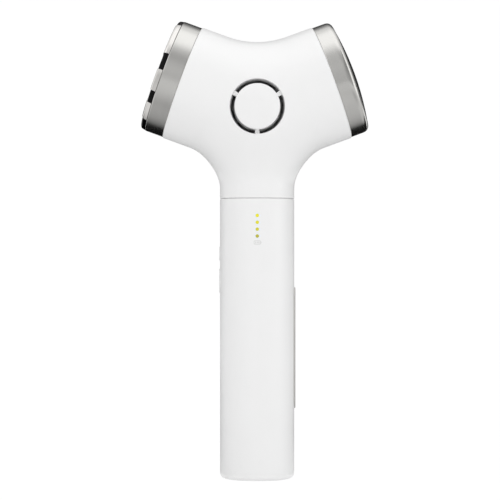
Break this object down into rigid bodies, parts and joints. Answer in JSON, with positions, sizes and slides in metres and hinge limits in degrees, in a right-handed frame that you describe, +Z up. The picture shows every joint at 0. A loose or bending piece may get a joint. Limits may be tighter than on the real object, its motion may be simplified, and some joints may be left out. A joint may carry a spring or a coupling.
{
  "type": "facial toning device",
  "caption": "Upright hand-held facial device with a Y-shaped head: a heated electrode face on one arm, a cooled mirror face on the other, and a ring vent between them.",
  "frame": {"origin": "middle of the handle's flat bottom", "axes": "+Z up the handle, +X to the right seen from the front, the front with the lights faces -Y"},
  "size_m": [0.0893, 0.0486, 0.1793],
  "materials": {
    "white_shell": "satin moulded plastic",
    "white_inner": "plain moulded plastic",
    "satin_metal": "satin turned and anodised",
    "black_gloss": "black gloss moulded plastic",
    "electrode_metal": "polished plated metal",
    "mirror_metal": "mirror-polished plated metal",
    "strip_metal": "satin metal",
    "heater": "polyimide film heater",
    "board": "solder-masked circuit board",
    "steel": "plated steel",
    "seal": "silicone rubber",
    "pad": "thermal pad",
    "ceramic": "alumina ceramic",
    "aluminium": "extruded aluminium",
    "black_plastic": "moulded plastic",
    "brass": "tungsten-brass weight",
    "cell_wrap": "heat-shrunk sleeve",
    "lead": "silicone-insulated copper lead",
    "amber_lens": "clear amber light pipe"
  },
  "bodies": {
    "handpiece": {"handle_sleeve": "white_shell", "head_front_shell": "white_shell", "head_rear_shell": "white_shell", "neck_sleeve": "white_inner", "front_vent_disc": "white_shell", "rear_vent_disc": "white_shell", "hot_ring": "satin_metal", "hot_face": "black_gloss", "hot_electrodes": "electrode_metal", "hot_plate": "electrode_metal", "hot_heater": "heater", "hot_board": "board", "hot_screws": "steel", "hot_seal": "seal", "cool_ring": "satin_metal", "cool_plate": "mirror_metal", "cool_seal": "seal", "thermal_pad": "pad", "peltier_module": "ceramic", "heat_sink": "aluminium", "sink_screws": "steel", "fan_frame": "black_plastic", "fan_screws": "steel", "motor_can": "steel", "chassis": "black_plastic", "main_board": "board", "board_parts": "black_plastic", "board_screws": "steel", "charge_port": "steel", "battery_cell": "cell_wrap", "battery_strap": "black_plastic", "indicator_lens": "amber_lens", "indicator_leds": "white_inner", "button_board": "board", "button_switches": "black_plastic", "hand_electrode": "strip_metal", "inner_leads": "lead"},
    "fan": {"fan_rotor": "black_plastic"},
    "motor_weight": {"motor_weight": "brass"},
    "power_button": {"power_button": "white_shell", "power_plunger": "white_inner"},
    "mode_button": {"mode_button": "white_shell", "mode_plunger": "white_inner"}
  },
  "joints": [
    {"name": "power_press", "type": "slide", "parent": "handpiece", "child": "power_button", "axis": [1, 0, 0], "range_m": [0, 0.0004], "stiffness_N_per_m": 3000, "springref_m": -0.0001},
    {"name": "mode_press", "type": "slide", "parent": "handpiece", "child": "mode_button", "axis": [1, 0, 0], "range_m": [0, 0.0004], "stiffness_N_per_m": 3000, "springref_m": -0.0001},
    {"name": "fan_spin", "type": "hinge", "parent": "handpiece", "child": "fan", "pos_m": [0, -0.0075, 0.1444], "axis": [0, 1, 0], "continuous": true},
    {"name": "motor_spin", "type": "hinge", "parent": "handpiece", "child": "motor_weight", "pos_m": [0.0078, 0.004, 0.1185], "axis": [1, 0, 0], "continuous": true}
  ]
}
